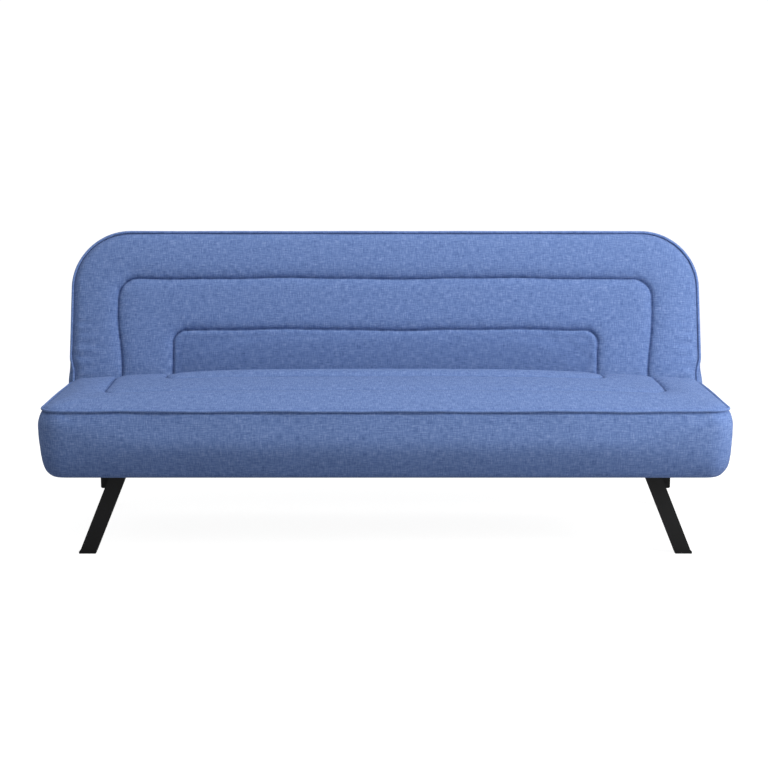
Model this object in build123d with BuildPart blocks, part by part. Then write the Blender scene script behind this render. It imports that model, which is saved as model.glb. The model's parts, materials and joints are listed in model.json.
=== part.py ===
from build123d import *
import os
from math import cos, radians, sin, tan

os.makedirs("parts", exist_ok=True)

# Futon sofa bed, armless, click-clack. Millimetres, Z up, floor at Z = 0, front towards -Y.
# The origin is on the floor under the middle of the upright sofa.

# seat
FRONT = -384.3  # foremost line of the seat, half the overall depth
WELT_R = 3.5
SEAT_HALF = 908.0
SEAT_Y0 = FRONT + 2 * WELT_R
SEAT_Y1 = FRONT + 488.0
SEAT_BOTTOM = 226.2
SEAT_TOP = 425.0
SEAT_FRONT_R = 72.0
SEAT_REAR_R = 30.0
SEAT_TOP_EDGE_R = 25.0
SEAT_BOTTOM_EDGE_R = 24.0
SEAT_WELT_Z = 397.0
COVER = 2.0  # cloth with its wadding
FOAM_INSET = 2.5  # cloth plus a little ease

# backrest, drawn about the hinge axis: u up the slope, n towards the front
LEAN = 18.0
PIVOT_Y = FRONT + 564.0
PIVOT_Z = 362.0
BACK_HALF = 914.0
BACK_LOW = -49.0
BACK_HIGH = 469.0 - 2 * WELT_R
BACK_FRONT_N = 68.0
BACK_REAR_N = -72.0
BACK_TOP_R = 170.0
BACK_REAR_EDGE_R = 25.0
BACK_ROLL_R = 60.0  # roll of the lower front edge, which turns behind the seat
BACK_WELT_N = 54.0
PANEL = 1.5

# steelwork
RAIL_X0 = 730.0
RAIL_X1 = 760.0
RAIL_Z0 = 175.0
RAIL_Z1 = 225.0
RAIL_Y0 = FRONT + 118.0
RAIL_Y1 = FRONT + 705.0
RAIL_WALL = 2.0
CAP_T = 4.5
CAP_PLUG = 9.0
PLUG_EASE = 0.3
TUBE_CORNER_R = 4.0
LEG_W = 44.5  # measured level, across the slant
LEG_T = 20.0
LEG_WALL = 2.0
SPLAY = 22.3
GLIDE_H = 5.0
PLUG_H = 22.0
FRONT_FOOT_X = 798.0
FRONT_LEG_Y = FRONT + 102.0
REAR_FOOT_X = 838.0
REAR_LEG_Y = FRONT + 640.0
PLATE_T = 4.0
BOLT_R = 3.0
HOLE_R = 3.3
HEAD_R = 7.0
HEAD_H = 4.0
CROSS_Y = FRONT + 612.0
CROSS_W = 25.0
CROSS_WALL = 1.5
CROSS_Z = 195.0

SEAT_TUBE = 30.0
SEAT_TUBE_WALL = 1.5
SEAT_FRAME_HALF = 868.0
SEAT_FRAME_Y0 = FRONT + 46.0
SEAT_FRAME_Y1 = FRONT + 450.0
SEAT_BAR_X0 = 688.0
SEAT_BAR_X1 = 762.0
SEAT_MIDDLE_X = 235.0
DUST = 1.2
WIRE_R = 1.8
SPRING_SWING = 24.0
SPRING_PITCH = 44.0
SPRING_XS = [-600, -480, -360, -120, 0, 120, 360, 480, 600]
SPRING_LIFT = 3.0  # wire above the frame tubes

# hinge, placed along X from the middle of the sofa outwards
SLOT_X0 = 730.0
SLOT_X1 = 766.0
SLOT_REACH = 36.0
SLOT_U1 = 115.0
WEB_X0 = 738.0
WEB_X1 = 743.0
SECTOR_X1 = 749.0
ARM_X0 = 750.0
ARM_X1 = 755.0
TAB_X1 = 760.0
FLANGE_T = 5.0
SECTOR_R = 30.0
NOTCH_R = 23.0
PIN_R = 6.0
PIN_PLAY = 0.05
ARM_EYE_R = 20.0
PAWL_U = 42.0
PAWL_N = -32.0
PAWL_PIN_R = 3.5
PAWL_X0 = 744.0
PAWL_X1 = 749.3
TOOTH_HALF = 2.3
TOOTH_TIP = 30.8
PAWL_HUB_R = 8.0
WASHER_R = 14.0
PIN_HEAD_R = 10.0
PIN_HEAD_H = 4.0
PIN_END_R = 11.0
SPRING_COIL_R = 5.2
SPRING_WIRE_R = 0.6
COILS = 3
COIL_PITCH = 1.7

BACK_TUBE = 25.0
BACK_TUBE_WALL = 1.5
BACK_TUBE_N0 = -70.0
BACK_FRAME_HALF = 868.0
BACK_FRAME_U0 = 45.0
BACK_FRAME_U1 = 440.0
BACK_FRAME_R = 120.0
UPRIGHT_XS = (-745.0, -250.0, 250.0, 745.0)

PAD_Y = FRONT + 690.0
PAD_TOP = 288.0
PAD_T = 6.0
PAD_X = 745.0
PAD_W = 26.0
POST_W = 20.0

LEAN_SIN = sin(radians(LEAN))
LEAN_COS = cos(radians(LEAN))
SLOPE = (0, LEAN_SIN, LEAN_COS)
FACING = (0, -LEAN_COS, LEAN_SIN)
BACK = Plane(origin=(0, PIVOT_Y, PIVOT_Z), x_dir=(1, 0, 0), z_dir=FACING)


def hinge_plane(x):
    """Side view of the hinge at a distance x from the middle: local x is u, local y is n."""
    return Plane(origin=(x, PIVOT_Y, PIVOT_Z), x_dir=SLOPE, z_dir=(1, 0, 0))


def both_sides(part):
    """A part and its twin on the other side of the sofa."""
    return Part() + [part, mirror(part, about=Plane.YZ)]


def save(part, label):
    part.label = label
    export_step(part, "parts/" + label + ".step")


# ------------------------------------------------------------------ seat


def seat_block(inset):
    """Seat cushion outline as a rounded block, all faces moved in by inset."""
    x = SEAT_HALF - inset
    y0 = SEAT_Y0 + inset
    y1 = SEAT_Y1 - inset
    z0 = SEAT_BOTTOM + inset
    z1 = SEAT_TOP - inset
    with BuildPart() as block:
        with BuildSketch(Plane.XY.offset(z0)) as plan:
            with Locations((0, (y0 + y1) / 2)):
                Rectangle(2 * x, y1 - y0)
            corners = plan.vertices().sort_by(Axis.Y)
            fillet(corners[:2], SEAT_FRONT_R - inset)
            corners = plan.vertices().sort_by(Axis.Y)
            fillet(corners[-2:], SEAT_REAR_R - inset)
        extrude(amount=z1 - z0)
        top = block.faces().sort_by(Axis.Z)[-1].edges()
        fillet(top, SEAT_TOP_EDGE_R - inset)
        bottom = block.faces().sort_by(Axis.Z)[0].edges()
        fillet(bottom, SEAT_BOTTOM_EDGE_R - inset)
    return block.part


def seat_opening(z0, height):
    """Room under the seat for its frame, springs and clips."""
    width = 2 * (SEAT_FRAME_HALF + 2)
    depth = SEAT_FRAME_Y1 - SEAT_FRAME_Y0 + 4
    with BuildPart() as room:
        with BuildSketch(Plane.XY.offset(z0)):
            with Locations((0, (SEAT_FRAME_Y0 + SEAT_FRAME_Y1) / 2)):
                Rectangle(width, depth)
        extrude(amount=height)
    return room.part


SEAT_SHAPE = seat_block(0)
SEAT_HOLLOW = seat_block(COVER)
SEAT_FILLING = seat_block(FOAM_INSET)
SEAT_ROOM_TOP = 266.0

with BuildPart() as seat_cover:
    add(SEAT_SHAPE)
    add(SEAT_HOLLOW, mode=Mode.SUBTRACT)
    add(seat_opening(SEAT_BOTTOM - 1, COVER + 2), mode=Mode.SUBTRACT)

with BuildPart() as seat_foam:
    add(SEAT_FILLING)
    add(seat_opening(SEAT_BOTTOM - 1, SEAT_ROOM_TOP - SEAT_BOTTOM + 1), mode=Mode.SUBTRACT)

with BuildPart() as seat_welt:
    with BuildSketch(Plane.XY.offset(SEAT_WELT_Z), mode=Mode.PRIVATE) as welt_plan:
        with Locations((0, (SEAT_Y0 + SEAT_Y1) / 2)):
            Rectangle(2 * (SEAT_HALF + WELT_R), SEAT_Y1 - SEAT_Y0 + 2 * WELT_R)
        corners = welt_plan.vertices().sort_by(Axis.Y)
        fillet(corners[:2], SEAT_FRONT_R + WELT_R)
        corners = welt_plan.vertices().sort_by(Axis.Y)
        fillet(corners[-2:], SEAT_REAR_R + WELT_R)
    loop = welt_plan.sketch.faces()[0].outer_wire()
    with BuildSketch(Plane(origin=loop @ 0, z_dir=loop % 0)):
        Circle(WELT_R)
    sweep(path=loop)

SEAT_TUBE_TOP = SEAT_BOTTOM + SEAT_TUBE
SEAT_BOLTS = [
    ((RAIL_X0 + RAIL_X1) / 2, FRONT + 160.0),
    ((RAIL_X0 + RAIL_X1) / 2, FRONT + 400.0),
]
LEG_PLATE_BOLTS = [(706.0, FRONT_LEG_Y - 34.0), (706.0, FRONT_LEG_Y + 34.0)]


def tube_bar(x0, x1, y0, y1, wall):
    """Level square tube of the seat frame, hollow along its longer side."""
    with BuildPart() as bar:
        with BuildSketch(Plane.XY.offset(SEAT_BOTTOM)):
            with Locations(((x0 + x1) / 2, (y0 + y1) / 2)):
                Rectangle(x1 - x0, y1 - y0)
        extrude(amount=SEAT_TUBE)
        with BuildSketch(Plane.XY.offset(SEAT_BOTTOM + wall)):
            with Locations(((x0 + x1) / 2, (y0 + y1) / 2)):
                Rectangle(x1 - x0 - 2 * wall, y1 - y0 - 2 * wall)
        extrude(amount=SEAT_TUBE - 2 * wall, mode=Mode.SUBTRACT)
    return bar.part


with BuildPart() as seat_frame:
    inner_y0 = SEAT_FRAME_Y0 + SEAT_TUBE
    inner_y1 = SEAT_FRAME_Y1 - SEAT_TUBE
    add(tube_bar(-SEAT_FRAME_HALF, SEAT_FRAME_HALF, SEAT_FRAME_Y0, inner_y0, SEAT_TUBE_WALL))
    add(tube_bar(-SEAT_FRAME_HALF, SEAT_FRAME_HALF, inner_y1, SEAT_FRAME_Y1, SEAT_TUBE_WALL))
    for side in (-1, 1):
        outer = sorted((side * SEAT_FRAME_HALF, side * (SEAT_FRAME_HALF - SEAT_TUBE)))
        add(tube_bar(outer[0], outer[1], inner_y0, inner_y1, SEAT_TUBE_WALL))
        bearer = sorted((side * SEAT_BAR_X0, side * SEAT_BAR_X1))
        add(tube_bar(bearer[0], bearer[1], inner_y0, inner_y1, SEAT_TUBE_WALL))
        middle = sorted((side * SEAT_MIDDLE_X, side * (SEAT_MIDDLE_X + SEAT_TUBE)))
        add(tube_bar(middle[0], middle[1], inner_y0, inner_y1, SEAT_TUBE_WALL))
        for bolt_x, bolt_y in SEAT_BOLTS + LEG_PLATE_BOLTS:
            with Locations((side * bolt_x, bolt_y, SEAT_BOTTOM)):
                Cylinder(HOLE_R, 8, mode=Mode.SUBTRACT)

with BuildPart() as seat_dust_cover:
    with BuildSketch(Plane.XY.offset(SEAT_BOTTOM - DUST)):
        with Locations((0, (SEAT_FRAME_Y0 + SEAT_FRAME_Y1) / 2)):
            RectangleRounded(2 * SEAT_FRAME_HALF + 8, SEAT_FRAME_Y1 - SEAT_FRAME_Y0 + 10, 4)
        for side in (-1, 1):
            for bolt_x, bolt_y in SEAT_BOLTS + LEG_PLATE_BOLTS:
                with Locations((side * bolt_x, bolt_y)):
                    Circle(HOLE_R, mode=Mode.SUBTRACT)
    extrude(amount=DUST)


# ------------------------------------------------------------------ sinuous springs


def zigzag(length, swing, pitch, plane, wire_r):
    """One sinuous spring along local y of the plane, straight at both ends."""
    turns = int((length - 2 * pitch) / pitch)
    start = (length - turns * pitch) / 2
    points = [(0, 0), (0, start)]
    for k in range(turns + 1):
        side = 1 if k % 2 == 0 else -1
        at = start + k * pitch
        if k > 0:
            points.append((-side * swing, at))
        if k < turns:
            points.append((side * swing, at))
    points.append((0, start + turns * pitch))
    points.append((0, length))
    with BuildPart() as wire:
        with BuildLine(plane) as route:
            FilletPolyline(*points, radius=pitch * 0.42)
        with BuildSketch(Plane(origin=route.wire() @ 0, z_dir=route.wire() % 0)):
            Circle(wire_r)
        sweep()
    return wire.part


SEAT_SPRING_Y0 = SEAT_FRAME_Y0 + 12.0
SEAT_SPRING_LEN = SEAT_FRAME_Y1 - SEAT_FRAME_Y0 - 24.0
SEAT_SPRING_Z = SEAT_TUBE_TOP + SPRING_LIFT
CLIP = (12.0, 14.0, 6.0)
CLIP_HOLE_R = WIRE_R + 0.3

SPRING_AT_ZERO = Plane(origin=(0, SEAT_SPRING_Y0, SEAT_SPRING_Z), z_dir=(0, 0, 1))
ONE_SEAT_SPRING = zigzag(SEAT_SPRING_LEN, SPRING_SWING, SPRING_PITCH, SPRING_AT_ZERO, WIRE_R)

with BuildPart() as seat_springs:
    for spring_x in SPRING_XS:
        add(Pos(spring_x, 0, 0) * ONE_SEAT_SPRING)

with BuildPart() as seat_spring_clips:
    clip_ys = (SEAT_FRAME_Y0 + SEAT_TUBE / 2 + 5, SEAT_FRAME_Y1 - SEAT_TUBE / 2 - 5)
    for spring_x in SPRING_XS:
        for clip_y in clip_ys:
            with Locations((spring_x, clip_y, SEAT_TUBE_TOP + CLIP[2] / 2)):
                Box(*CLIP)
            with Locations((spring_x, clip_y, SEAT_SPRING_Z)):
                Cylinder(CLIP_HOLE_R, 2 * CLIP[1], rotation=(90, 0, 0), mode=Mode.SUBTRACT)


# ------------------------------------------------------------------ backrest


def back_outline(half, low, high):
    """Front view of the backrest, drawn into the open sketch."""
    with Locations((0, (low + high) / 2)):
        Rectangle(2 * half, high - low)


def back_prism(n0, n1, half, low, high, top_r):
    """Block between two n planes with round upper corners."""
    with BuildPart() as prism:
        with BuildSketch(BACK.offset(n0)) as view:
            back_outline(half, low, high)
            corners = view.vertices().sort_by(Axis.Y)
            fillet(corners[-2:], top_r)
        extrude(amount=n1 - n0)
    return prism.part


def back_block(inset):
    """Backrest cushion, all faces moved in by inset: its side view cut to its front view."""
    low = BACK_LOW + inset
    high = BACK_HIGH - inset
    front_n = BACK_FRONT_N - inset
    rear_n = BACK_REAR_N + inset
    roll = BACK_ROLL_R - inset
    roll_middle = (low + roll * (1 - cos(radians(45))), front_n - roll * (1 - sin(radians(45))))
    beyond = 20.0
    with BuildPart() as block:
        with BuildSketch(hinge_plane(-BACK_HALF - beyond)):
            with BuildLine():
                Polyline(
                    (low + roll, front_n), (high + beyond, front_n), (high + beyond, rear_n),
                    (low, rear_n), (low, front_n - roll),
                )
                ThreePointArc((low, front_n - roll), roll_middle, (low + roll, front_n))
            make_face()
        extrude(amount=2 * (BACK_HALF + beyond))
        add(
            back_prism(rear_n - beyond, front_n + beyond, BACK_HALF - inset, low - beyond, high,
                       BACK_TOP_R - inset),
            mode=Mode.INTERSECT,
        )
        rear = block.faces().sort_by(Axis((0, PIVOT_Y, PIVOT_Z), FACING))[0]
        fillet(rear.edges(), BACK_REAR_EDGE_R - inset)
    return block.part


def slot_cutter(u1):
    """Room in the backrest for the hinge, open at its lower end and rear."""
    with BuildPart() as room:
        with BuildSketch(BACK.offset(BACK_REAR_N - 10)):
            for side in (-1, 1):
                with Locations((side * (SLOT_X0 + SLOT_X1) / 2, (BACK_LOW - 10 + u1) / 2)):
                    Rectangle(SLOT_X1 - SLOT_X0, u1 - BACK_LOW + 10)
        extrude(amount=SLOT_REACH - BACK_REAR_N + 10)
    return room.part


BACK_OPEN_U0 = 40.0
BACK_OPEN_U1 = 445.0
BACK_ROOM_N = BACK_TUBE_N0 + BACK_TUBE + 9.0

with BuildPart() as back_cover:
    add(back_block(0))
    add(back_block(COVER), mode=Mode.SUBTRACT)
    add(slot_cutter(SLOT_REACH), mode=Mode.SUBTRACT)
    add(
        back_prism(BACK_REAR_N - 5, BACK_REAR_N + 4, BACK_FRAME_HALF + 3,
                   BACK_OPEN_U0, BACK_OPEN_U1, BACK_FRAME_R),
        mode=Mode.SUBTRACT,
    )

with BuildPart() as back_foam:
    add(back_block(FOAM_INSET))
    add(slot_cutter(SLOT_U1), mode=Mode.SUBTRACT)
    add(
        back_prism(BACK_REAR_N - 5, BACK_ROOM_N, BACK_FRAME_HALF + 3,
                   BACK_OPEN_U0, BACK_OPEN_U1, BACK_FRAME_R),
        mode=Mode.SUBTRACT,
    )

with BuildPart() as back_rear_panel:
    add(
        back_prism(BACK_REAR_N - PANEL, BACK_REAR_N, BACK_FRAME_HALF + 10,
                   BACK_OPEN_U0 - 2, BACK_HIGH - BACK_REAR_EDGE_R - 1, BACK_FRAME_R + 6)
    )

with BuildPart() as back_welt:
    with BuildSketch(BACK.offset(BACK_WELT_N), mode=Mode.PRIVATE) as welt_view:
        back_outline(BACK_HALF + WELT_R, BACK_LOW + BACK_ROLL_R, BACK_HIGH + WELT_R)
        corners = welt_view.vertices().sort_by(Axis.Y)
        fillet(corners[-2:], BACK_TOP_R + WELT_R)
    rim = welt_view.sketch.edges().sort_by(Axis.Z)
    path = Wire(rim[1:])
    with BuildSketch(Plane(origin=path @ 0, z_dir=path % 0)):
        Circle(WELT_R)
    sweep(path=path)


def back_ring(wall):
    """Perimeter tube and uprights of the back frame; wall shrinks it to its own hollow."""
    half = BACK_FRAME_HALF
    tube = BACK_TUBE
    with BuildPart() as ring:
        with BuildSketch(BACK.offset(BACK_TUBE_N0 + wall)) as view:
            back_outline(half - wall, BACK_FRAME_U0 + wall, BACK_FRAME_U1 - wall)
            corners = view.vertices().sort_by(Axis.Y)
            fillet(corners[-2:], BACK_FRAME_R - wall)
            with BuildSketch(BACK.offset(BACK_TUBE_N0 + wall), mode=Mode.SUBTRACT) as gap:
                back_outline(half - tube + wall, BACK_FRAME_U0 + tube - wall,
                             BACK_FRAME_U1 - tube + wall)
                corners = gap.vertices().sort_by(Axis.Y)
                fillet(corners[-2:], BACK_FRAME_R - tube + wall)
            for x in UPRIGHT_XS:
                with Locations((x, (BACK_FRAME_U0 + BACK_FRAME_U1) / 2)):
                    Rectangle(tube - 2 * wall, BACK_FRAME_U1 - BACK_FRAME_U0 - tube)
        extrude(amount=tube - 2 * wall)
    return ring.part


ARM_BOLTS = [(58.0, -14.0), (96.0, -30.0)]
TAB_U0 = 48.0
TAB_U1 = 108.0
TAB_N1 = -2.0
BACK_TUBE_N1 = BACK_TUBE_N0 + BACK_TUBE

with BuildPart() as hinge_tabs:
    with BuildSketch(hinge_plane(ARM_X1)):
        with Locations(((TAB_U0 + TAB_U1) / 2, (BACK_TUBE_N1 + TAB_N1) / 2)):
            Rectangle(TAB_U1 - TAB_U0, TAB_N1 - BACK_TUBE_N1)
        with Locations(*ARM_BOLTS):
            Circle(HOLE_R, mode=Mode.SUBTRACT)
    extrude(amount=TAB_X1 - ARM_X1)

with BuildPart() as back_frame:
    add(back_ring(0))
    add(back_ring(BACK_TUBE_WALL), mode=Mode.SUBTRACT)
    add(hinge_tabs.part)
    add(mirror(hinge_tabs.part, about=Plane.YZ))

BACK_SPRING_U0 = BACK_FRAME_U0 + 10.0
BACK_SPRING_LEN = BACK_FRAME_U1 - BACK_FRAME_U0 - 20.0
SPRING_PLANE = BACK.offset(BACK_TUBE_N1 + SPRING_LIFT)
SPRING_FOOT = Plane(
    origin=SPRING_PLANE.from_local_coords((0, BACK_SPRING_U0, 0)), x_dir=(1, 0, 0), z_dir=FACING
)
ONE_BACK_SPRING = zigzag(BACK_SPRING_LEN, SPRING_SWING, SPRING_PITCH, SPRING_FOOT, WIRE_R)

with BuildPart() as back_springs:
    for spring_x in SPRING_XS:
        add(Pos(spring_x, 0, 0) * ONE_BACK_SPRING)

with BuildPart() as back_spring_clips:
    clip_us = (BACK_FRAME_U0 + BACK_TUBE / 2 + 3, BACK_FRAME_U1 - BACK_TUBE / 2 - 3)
    with BuildSketch(BACK.offset(BACK_TUBE_N1)):
        for spring_x in SPRING_XS:
            for clip_u in clip_us:
                with Locations((spring_x, clip_u)):
                    Rectangle(CLIP[0], CLIP[1])
    extrude(amount=CLIP[2])
    for spring_x in SPRING_XS:
        start = SPRING_PLANE.from_local_coords((spring_x, BACK_FRAME_U0, 0))
        with BuildSketch(Plane(origin=start, z_dir=SLOPE)):
            Circle(CLIP_HOLE_R)
        extrude(amount=BACK_FRAME_U1 - BACK_FRAME_U0, mode=Mode.SUBTRACT)


# ------------------------------------------------------------------ rails, legs, glides


def side_rail(side):
    """Fore-and-aft tube that carries the seat, the hinge and the rear leg."""
    x = side * (RAIL_X0 + RAIL_X1) / 2
    width = RAIL_X1 - RAIL_X0
    height = RAIL_Z1 - RAIL_Z0
    with BuildPart() as rail:
        with BuildSketch(Plane(origin=(x, RAIL_Y0, (RAIL_Z0 + RAIL_Z1) / 2), z_dir=(0, 1, 0))):
            RectangleRounded(height, width, TUBE_CORNER_R)
            RectangleRounded(
                height - 2 * RAIL_WALL, width - 2 * RAIL_WALL, TUBE_CORNER_R - RAIL_WALL,
                mode=Mode.SUBTRACT,
            )
        extrude(amount=RAIL_Y1 - RAIL_Y0)
        for bolt_x, bolt_y in SEAT_BOLTS:
            with Locations((side * bolt_x, bolt_y, (RAIL_Z0 + RAIL_Z1) / 2)):
                Cylinder(HOLE_R, height + 10, mode=Mode.SUBTRACT)
        for bolt_x, bolt_y in REAR_PLATE_BOLTS:
            with Locations((side * bolt_x, bolt_y, RAIL_Z0)):
                Cylinder(HOLE_R, 10, mode=Mode.SUBTRACT)
        for bolt_x, bolt_y in BRACKET_BOLTS + POST_BOLTS:
            with Locations((side * bolt_x, bolt_y, RAIL_Z1)):
                Cylinder(HOLE_R, 10, mode=Mode.SUBTRACT)
    return rail.part


REAR_PLATE_BOLTS = [(742.0, REAR_LEG_Y - 28.0), (742.0, REAR_LEG_Y + 28.0)]
BRACKET_BOLTS = [(751.0, PIVOT_Y - 36.0), (751.0, PIVOT_Y + 36.0)]
POST_BOLTS = [(PAD_X, PAD_Y)]


def slant(side, foot_x, width, z0, z1):
    """Corners of a splayed strip between two heights, seen from the front."""
    lean = tan(radians(SPLAY))
    x0 = foot_x - z0 * lean
    x1 = foot_x - z1 * lean
    return [
        (side * (x0 - width / 2), z0),
        (side * (x0 + width / 2), z0),
        (side * (x1 + width / 2), z1),
        (side * (x1 - width / 2), z1),
    ]


def slanted_leg(side, foot_x, leg_y, top_z, plate_x, plate_half, holes):
    """Splayed rectangular tube with a welded top plate."""
    plate_z = top_z - PLATE_T
    bore = LEG_W - 2 * LEG_WALL / cos(radians(SPLAY))
    with BuildPart() as leg:
        with BuildSketch(Plane.XZ.offset(-leg_y)):
            with BuildLine():
                Polyline(*slant(side, foot_x, LEG_W, GLIDE_H, plate_z), close=True)
            make_face()
        extrude(amount=LEG_T / 2, both=True)
        with BuildSketch(Plane.XZ.offset(-leg_y)):
            with BuildLine():
                Polyline(*slant(side, foot_x, bore, 0, plate_z), close=True)
            make_face()
        extrude(amount=LEG_T / 2 - LEG_WALL, both=True, mode=Mode.SUBTRACT)
        with BuildSketch(Plane.XY.offset(plate_z)):
            with Locations((side * (plate_x[0] + plate_x[1]) / 2, leg_y)):
                RectangleRounded(plate_x[1] - plate_x[0], 2 * plate_half, 6)
            for hole_x, hole_y in holes:
                with Locations((side * hole_x, hole_y)):
                    Circle(HOLE_R, mode=Mode.SUBTRACT)
        extrude(amount=PLATE_T)
    return leg.part


def foot_glide(side, foot_x, leg_y):
    """Plastic foot with a plug inside the tube."""
    plug_w = LEG_W - 2 * LEG_WALL / cos(radians(SPLAY)) - 2 * PLUG_EASE
    with BuildPart() as glide:
        with BuildSketch(Plane.XY):
            with Locations((side * foot_x, leg_y)):
                RectangleRounded(LEG_W + 1, LEG_T + 1, 3)
        extrude(amount=GLIDE_H)
        fillet(glide.faces().sort_by(Axis.Z)[0].edges(), 1.0)
        with BuildSketch(Plane.XZ.offset(-leg_y)):
            with BuildLine():
                Polyline(*slant(side, foot_x, plug_w, GLIDE_H, GLIDE_H + PLUG_H), close=True)
            make_face()
        extrude(amount=LEG_T / 2 - LEG_WALL - PLUG_EASE, both=True)
    return glide.part


def bolts(spots, head_z, length, upward=1):
    """Screws on both sides, heads bearing on head_z, shanks upward (1) or downward (-1)."""
    with BuildPart() as group:
        for side in (-1, 1):
            for bolt_x, bolt_y in spots:
                with Locations((side * bolt_x, bolt_y, head_z - upward * HEAD_H / 2)):
                    Cylinder(HEAD_R, HEAD_H)
                with Locations((side * bolt_x, bolt_y, head_z + upward * length / 2)):
                    Cylinder(BOLT_R, length)
    return group.part


def end_cap(side, y, outward):
    """Plug in an open rail end; outward is the way its face looks."""
    x = side * (RAIL_X0 + RAIL_X1) / 2
    middle = (x, y, (RAIL_Z0 + RAIL_Z1) / 2)
    width = RAIL_X1 - RAIL_X0
    height = RAIL_Z1 - RAIL_Z0
    with BuildPart() as cap:
        with BuildSketch(Plane(origin=middle, x_dir=(1, 0, 0), z_dir=(0, outward, 0))):
            RectangleRounded(width, height, 5)
        extrude(amount=CAP_T)
        with BuildSketch(Plane(origin=middle, x_dir=(1, 0, 0), z_dir=(0, -outward, 0))):
            RectangleRounded(
                width - 2 * (RAIL_WALL + PLUG_EASE), height - 2 * (RAIL_WALL + PLUG_EASE),
                TUBE_CORNER_R - RAIL_WALL - PLUG_EASE,
            )
        extrude(amount=CAP_PLUG)
    return cap.part


with BuildPart() as rail_end_caps:
    for side in (-1, 1):
        add(end_cap(side, RAIL_Y0, -1))
        add(end_cap(side, RAIL_Y1, 1))

with BuildPart() as rear_cross_tube:
    with BuildSketch(Plane(origin=(-RAIL_X0, CROSS_Y, CROSS_Z), z_dir=(1, 0, 0))):
        RectangleRounded(CROSS_W, CROSS_W, 3)
        RectangleRounded(CROSS_W - 2 * CROSS_WALL, CROSS_W - 2 * CROSS_WALL, 1.5, mode=Mode.SUBTRACT)
    extrude(amount=2 * RAIL_X0)

# ------------------------------------------------------------------ hinge


def ring_point(angle, radius):
    """Point about the hinge axis; angle from u towards the rear."""
    return (radius * cos(radians(angle)), -radius * sin(radians(angle)))


def bracket():
    """Base bracket on the rail: foot flange and upright web with the pivot hole."""
    web_half = 26.0
    foot_half = 52.0
    waist_z = 282.0
    foot_z = RAIL_Z1 + FLANGE_T
    with BuildPart() as plate:
        with BuildSketch(Plane.XY.offset(RAIL_Z1)):
            with Locations(((RAIL_X0 + RAIL_X1) / 2, PIVOT_Y)):
                RectangleRounded(RAIL_X1 - RAIL_X0, 2 * foot_half, 4)
            with Locations(*BRACKET_BOLTS):
                Circle(HOLE_R, mode=Mode.SUBTRACT)
        extrude(amount=FLANGE_T)
        with BuildSketch(Plane(origin=(WEB_X0, PIVOT_Y, 0), x_dir=(0, 1, 0), z_dir=(1, 0, 0))):
            with BuildLine():
                Polyline(
                    (-web_half, PIVOT_Z), (-web_half, waist_z), (-foot_half + 2, foot_z),
                    (foot_half - 2, foot_z), (web_half, waist_z), (web_half, PIVOT_Z),
                )
                ThreePointArc((web_half, PIVOT_Z), (0, PIVOT_Z + web_half), (-web_half, PIVOT_Z))
            make_face()
            with Locations((0, PIVOT_Z)):
                Circle(PIN_R, mode=Mode.SUBTRACT)
        extrude(amount=WEB_X1 - WEB_X0)
    return plate.part


NOTCHES = [(-13.0, 6.5), (29.5, 42.5), (65.5, 78.5)]

with BuildPart() as ratchet:
    with BuildSketch(hinge_plane(WEB_X1)):
        Circle(SECTOR_R)
        for first, last in NOTCHES:
            middle = (first + last) / 2
            with BuildLine():
                Polyline(
                    ring_point(first, NOTCH_R), ring_point(first, SECTOR_R + 4),
                    ring_point(middle, SECTOR_R + 6), ring_point(last, SECTOR_R + 4),
                    ring_point(last, NOTCH_R), ring_point(middle, NOTCH_R), close=True,
                )
            make_face(mode=Mode.SUBTRACT)
        Circle(PIN_R, mode=Mode.SUBTRACT)
    extrude(amount=SECTOR_X1 - WEB_X1)

with BuildPart() as washer:
    with BuildSketch(hinge_plane(SECTOR_X1)):
        Circle(WASHER_R)
        Circle(PIN_R + 0.2, mode=Mode.SUBTRACT)
    extrude(amount=0.6)

with BuildPart() as pivot_pin:
    with BuildSketch(hinge_plane(WEB_X0 - PIN_HEAD_H)):
        Circle(PIN_HEAD_R)
    extrude(amount=PIN_HEAD_H)
    with BuildSketch(hinge_plane(WEB_X0)):
        Circle(PIN_R)
    extrude(amount=ARM_X1 + 0.5 - WEB_X0)
    with BuildSketch(hinge_plane(ARM_X1 + 0.5)):
        Circle(PIN_END_R)
    extrude(amount=PIN_HEAD_H)
    fillet(pivot_pin.faces().sort_by(Axis.X)[-1].edges(), 1.2)

with BuildPart() as hinge_arm:
    with BuildSketch(hinge_plane(ARM_X0)):
        with BuildLine():
            Polyline(
                (0, ARM_EYE_R), (TAB_U1 - 8, -4), (TAB_U1, -12), (TAB_U1, BACK_TUBE_N1 + 1),
                (36, BACK_TUBE_N1 + 1), (0, -ARM_EYE_R),
            )
            ThreePointArc((0, -ARM_EYE_R), (-ARM_EYE_R, 0), (0, ARM_EYE_R))
        make_face()
        Circle(PIN_R + PIN_PLAY, mode=Mode.SUBTRACT)
        with Locations((PAWL_U, PAWL_N)):
            Circle(PAWL_PIN_R, mode=Mode.SUBTRACT)
        with Locations(*ARM_BOLTS):
            Circle(HOLE_R, mode=Mode.SUBTRACT)
    extrude(amount=ARM_X1 - ARM_X0)

with BuildPart() as arm_bolts:
    for bolt_u, bolt_n in ARM_BOLTS:
        with BuildSketch(hinge_plane(TAB_X1)):
            with Locations((bolt_u, bolt_n)):
                Circle(5.5)
        extrude(amount=3.5)
        with BuildSketch(hinge_plane(ARM_X0 - 0.1)):
            with Locations((bolt_u, bolt_n)):
                Circle(BOLT_R)
        extrude(amount=TAB_X1 - ARM_X0 + 0.1)

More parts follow.
